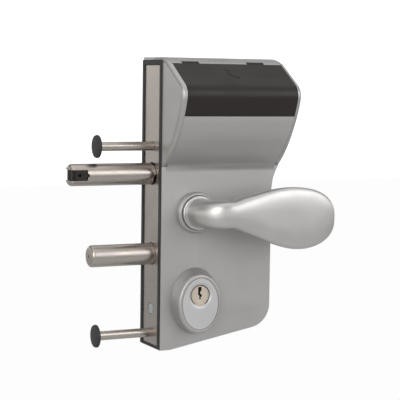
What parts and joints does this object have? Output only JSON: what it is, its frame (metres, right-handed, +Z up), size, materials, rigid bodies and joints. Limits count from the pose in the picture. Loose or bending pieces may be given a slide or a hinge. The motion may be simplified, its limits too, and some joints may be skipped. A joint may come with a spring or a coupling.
{
  "type": "gate code lock",
  "caption": "Surface-mounted push-button code lock for a square gate post, with a flip-up keypad lid, lever handles, latch and dead bolts and a profile cylinder.",
  "frame": {"origin": "on the face that meets the gate post, at the height of the handle spindle and in the middle of the case's thickness", "axes": "-X out of the mounting face, the way the bolts leave; -Y towards the keypad and outer lever; +Z up"},
  "size_m": [0.2295, 0.1392, 0.2558],
  "materials": {
    "silver_coat": "satin silver powder coat",
    "satin_aluminium": "satin anodised",
    "black_plastic": "satin moulded",
    "black_rubber": "matt",
    "stainless": "brushed",
    "zinc_steel": "zinc plated",
    "nickel_brass": "satin nickel plated",
    "keypad_grey": "satin",
    "button_metal": "satin chromed"
  },
  "bodies": {
    "case": {"mounting_gasket": "black_rubber", "faceplate": "stainless", "front_case_plate": "zinc_steel", "rear_case_plate": "zinc_steel", "case_pillars": "zinc_steel", "bolt_guides": "black_plastic", "fixing_bolts": "zinc_steel", "fixing_caps": "black_plastic", "front_cover": "silver_coat", "rear_cover": "silver_coat", "left_end_cap": "silver_coat", "right_end_cap": "silver_coat", "lid_hinge_pin": "stainless", "keypad_panel": "keypad_grey", "code_chamber": "zinc_steel", "code_chamber_cover": "zinc_steel", "code_tumblers": "nickel_brass", "button_springs": "stainless", "front_handle_collar": "silver_coat", "rear_handle_collar": "silver_coat", "spindle_bushes": "black_plastic", "handle_spring": "stainless", "latch_spring": "stainless", "cylinder_body": "nickel_brass", "cylinder_screw": "stainless", "front_rosette": "silver_coat", "front_rosette_disc": "satin_aluminium", "rear_rosette": "silver_coat", "cover_screws": "stainless"},
    "lid": {"lid": "black_plastic"},
    "clutch_link": {"clutch_link": "zinc_steel"},
    "front_handle": {"front_handle": "satin_aluminium", "front_grub_screw": "zinc_steel", "clutch_driver": "zinc_steel"},
    "rear_handle": {"rear_handle": "satin_aluminium", "rear_grub_screw": "zinc_steel", "rear_spindle": "zinc_steel", "follower": "zinc_steel"},
    "latch": {"latch_bolt": "stainless", "latch_insert": "black_plastic", "latch_insert_pin": "stainless", "latch_carriage": "zinc_steel"},
    "deadbolt": {"deadbolt": "stainless", "deadbolt_carriage": "zinc_steel"},
    "key_plug": {"front_plug": "nickel_brass", "rear_plug": "nickel_brass", "cylinder_cam": "zinc_steel"},
    "button_1": {"button_1": "button_metal"},
    "button_2": {"button_2": "button_metal"},
    "button_3": {"button_3": "button_metal"},
    "button_4": {"button_4": "button_metal"},
    "button_5": {"button_5": "button_metal"},
    "button_6": {"button_6": "button_metal"},
    "button_7": {"button_7": "button_metal"},
    "button_8": {"button_8": "button_metal"},
    "button_9": {"button_9": "button_metal"},
    "button_10": {"button_10": "button_metal"},
    "button_11": {"button_11": "button_metal"},
    "button_12": {"button_12": "button_metal"}
  },
  "joints": [
    {"name": "lid_hinge", "type": "hinge", "parent": "case", "child": "lid", "pos_m": [0.0587, -0.0277, 0.1295], "axis": [-1, 0, 0], "range_deg": [0, 100]},
    {"name": "front_handle_turn", "type": "hinge", "parent": "case", "child": "front_handle", "pos_m": [0.0337, 0, 0], "axis": [0, 1, 0], "range_deg": [0, 37], "stiffness_Nm_per_rad": 1.5, "springref_deg": -34.38},
    {"name": "rear_handle_turn", "type": "hinge", "parent": "case", "child": "rear_handle", "pos_m": [0.0337, 0, 0], "axis": [0, 1, 0], "range_deg": [0, 37]},
    {"name": "latch_slide", "type": "slide", "parent": "case", "child": "latch", "axis": [1, 0, 0], "range_m": [0, 0.02], "deforming": ["latch_spring"]},
    {"name": "deadbolt_throw", "type": "slide", "parent": "case", "child": "deadbolt", "axis": [-1, 0, 0], "range_m": [0, 0.02]},
    {"name": "key_turn", "type": "hinge", "parent": "case", "child": "key_plug", "pos_m": [0.0337, 0, -0.072], "axis": [0, -1, 0], "range_deg": [0, 110]},
    {"name": "clutch_link_slide", "type": "slide", "parent": "case", "child": "clutch_link", "axis": [0, 0, -1], "range_m": [0, 0.003], "stiffness_N_per_m": 300, "springref_m": -0.001},
    {"name": "button_1_press", "type": "slide", "parent": "case", "child": "button_1", "axis": [0, 0.766, -0.6428], "range_m": [0, 0.0022], "stiffness_N_per_m": 800, "springref_m": -0.0005},
    {"name": "button_2_press", "type": "slide", "parent": "case", "child": "button_2", "axis": [0, 0.766, -0.6428], "range_m": [0, 0.0022], "stiffness_N_per_m": 800, "springref_m": -0.0005},
    {"name": "button_3_press", "type": "slide", "parent": "case", "child": "button_3", "axis": [0, 0.766, -0.6428], "range_m": [0, 0.0022], "stiffness_N_per_m": 800, "springref_m": -0.0005},
    {"name": "button_4_press", "type": "slide", "parent": "case", "child": "button_4", "axis": [0, 0.766, -0.6428], "range_m": [0, 0.0022], "stiffness_N_per_m": 800, "springref_m": -0.0005},
    {"name": "button_5_press", "type": "slide", "parent": "case", "child": "button_5", "axis": [0, 0.766, -0.6428], "range_m": [0, 0.0022], "stiffness_N_per_m": 800, "springref_m": -0.0005},
    {"name": "button_6_press", "type": "slide", "parent": "case", "child": "button_6", "axis": [0, 0.766, -0.6428], "range_m": [0, 0.0022], "stiffness_N_per_m": 800, "springref_m": -0.0005},
    {"name": "button_7_press", "type": "slide", "parent": "case", "child": "button_7", "axis": [0, 0.766, -0.6428], "range_m": [0, 0.0022], "stiffness_N_per_m": 800, "springref_m": -0.0005},
    {"name": "button_8_press", "type": "slide", "parent": "case", "child": "button_8", "axis": [0, 0.766, -0.6428], "range_m": [0, 0.0022], "stiffness_N_per_m": 800, "springref_m": -0.0005},
    {"name": "button_9_press", "type": "slide", "parent": "case", "child": "button_9", "axis": [0, 0.766, -0.6428], "range_m": [0, 0.0022], "stiffness_N_per_m": 800, "springref_m": -0.0005},
    {"name": "button_10_press", "type": "slide", "parent": "case", "child": "button_10", "axis": [0, 0.766, -0.6428], "range_m": [0, 0.0022], "stiffness_N_per_m": 800, "springref_m": -0.0005},
    {"name": "button_11_press", "type": "slide", "parent": "case", "child": "button_11", "axis": [0, 0.766, -0.6428], "range_m": [0, 0.0022], "stiffness_N_per_m": 800, "springref_m": -0.0005},
    {"name": "button_12_press", "type": "slide", "parent": "case", "child": "button_12", "axis": [0, 0.766, -0.6428], "range_m": [0, 0.0022], "stiffness_N_per_m": 800, "springref_m": -0.0005}
  ],
  "couplings": [
    {"joint": "rear_handle_turn", "follows": "front_handle_turn", "ratio": 1},
    {"joint": "latch_slide", "follows": "front_handle_turn", "m_per_rad": 0.03097},
    {"joint": "key_turn", "follows": "deadbolt_throw", "rad_per_m": 95.98}
  ]
}
